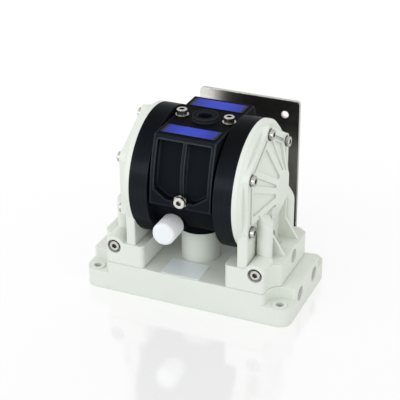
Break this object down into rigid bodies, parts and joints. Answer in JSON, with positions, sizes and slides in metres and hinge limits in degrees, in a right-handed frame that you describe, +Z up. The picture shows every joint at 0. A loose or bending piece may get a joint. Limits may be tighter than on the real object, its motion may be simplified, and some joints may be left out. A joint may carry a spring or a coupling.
{
  "type": "air operated diaphragm pump",
  "caption": "Air operated diaphragm pump with round ribbed fluid covers on a low manifold base, black centre housing, muffler and wall bracket.",
  "frame": {"origin": "centre of the underside of the manifold base", "axes": "+X along the diaphragm shaft towards the open fluid ports, -Y is the front with the muffler and earth screw, +Z up"},
  "size_m": [0.18, 0.1581, 0.1529],
  "materials": {
    "cream_plastic": "fine moulded grain",
    "black_plastic": "satin moulded, faint blue sheen",
    "diaphragm_rubber": "matt",
    "seal_rubber": "matt",
    "bush_plastic": "machined acetal",
    "ball_plastic": "polished",
    "stainless": "bright",
    "porous_plastic": "porous sintered",
    "blue_plate": "printed film, bare of lettering",
    "data_foil": "satin foil, bare of lettering",
    "bracket_steel": "dark brushed"
  },
  "bodies": {
    "pump_body": {"base_manifold": "cream_plastic", "port_plugs": "cream_plastic", "center_housing": "black_plastic", "fluid_cover_right": "cream_plastic", "fluid_cover_left": "cream_plastic", "diaphragm_right": "diaphragm_rubber", "diaphragm_left": "diaphragm_rubber", "shaft_bushes": "bush_plastic", "shaft_seals": "seal_rubber", "air_valve_sleeve": "bush_plastic", "air_valve_caps": "black_plastic", "ball_seats": "stainless", "seat_rings": "seal_rubber", "cover_screws_right": "stainless", "cover_screws_left": "stainless", "foot_screws": "stainless", "base_screws": "stainless", "top_screws": "stainless", "top_washers": "stainless", "earth_nut": "stainless", "earth_screw": "stainless", "muffler": "porous_plastic", "nameplate_front": "blue_plate", "nameplate_rear": "blue_plate", "data_plate": "data_foil", "wall_bracket": "bracket_steel", "bracket_screws": "stainless"},
    "shaft_group": {"diaphragm_shaft": "stainless", "air_side_plate_right": "black_plastic", "air_side_plate_left": "black_plastic", "fluid_side_plate_right": "cream_plastic", "fluid_side_plate_left": "cream_plastic"},
    "valve_spool": {"air_valve_spool": "stainless"},
    "pin_right": {"pilot_pin_right": "stainless"},
    "pin_left": {"pilot_pin_left": "stainless"},
    "ball_inlet_right": {"inlet_ball_right": "ball_plastic"},
    "ball_inlet_left": {"inlet_ball_left": "ball_plastic"},
    "ball_outlet_right": {"outlet_ball_right": "ball_plastic"},
    "ball_outlet_left": {"outlet_ball_left": "ball_plastic"}
  },
  "joints": [
    {"name": "shaft_slide", "type": "slide", "parent": "pump_body", "child": "shaft_group", "axis": [1, 0, 0], "range_m": [-0.007, 0.007], "deforming": ["diaphragm_right", "diaphragm_left"]},
    {"name": "spool_slide", "type": "slide", "parent": "pump_body", "child": "valve_spool", "axis": [1, 0, 0], "range_m": [-0.004, 0.004]},
    {"name": "pin_right_slide", "type": "slide", "parent": "pump_body", "child": "pin_right", "axis": [1, 0, 0], "range_m": [-0.0032, 0.0032]},
    {"name": "pin_left_slide", "type": "slide", "parent": "pump_body", "child": "pin_left", "axis": [1, 0, 0], "range_m": [-0.0032, 0.0032]},
    {"name": "ball_inlet_right_lift", "type": "slide", "parent": "pump_body", "child": "ball_inlet_right", "axis": [0, 0, 1], "range_m": [0, 0.0028]},
    {"name": "ball_inlet_left_lift", "type": "slide", "parent": "pump_body", "child": "ball_inlet_left", "axis": [0, 0, 1], "range_m": [0, 0.0028]},
    {"name": "ball_outlet_right_lift", "type": "slide", "parent": "pump_body", "child": "ball_outlet_right", "axis": [0, 0, 1], "range_m": [0, 0.0028]},
    {"name": "ball_outlet_left_lift", "type": "slide", "parent": "pump_body", "child": "ball_outlet_left", "axis": [0, 0, 1], "range_m": [0, 0.0028]}
  ],
  "couplings": [
    {"joint": "pin_right_slide", "follows": "shaft_slide", "ratio": 0.45},
    {"joint": "pin_left_slide", "follows": "shaft_slide", "ratio": 0.45}
  ]
}
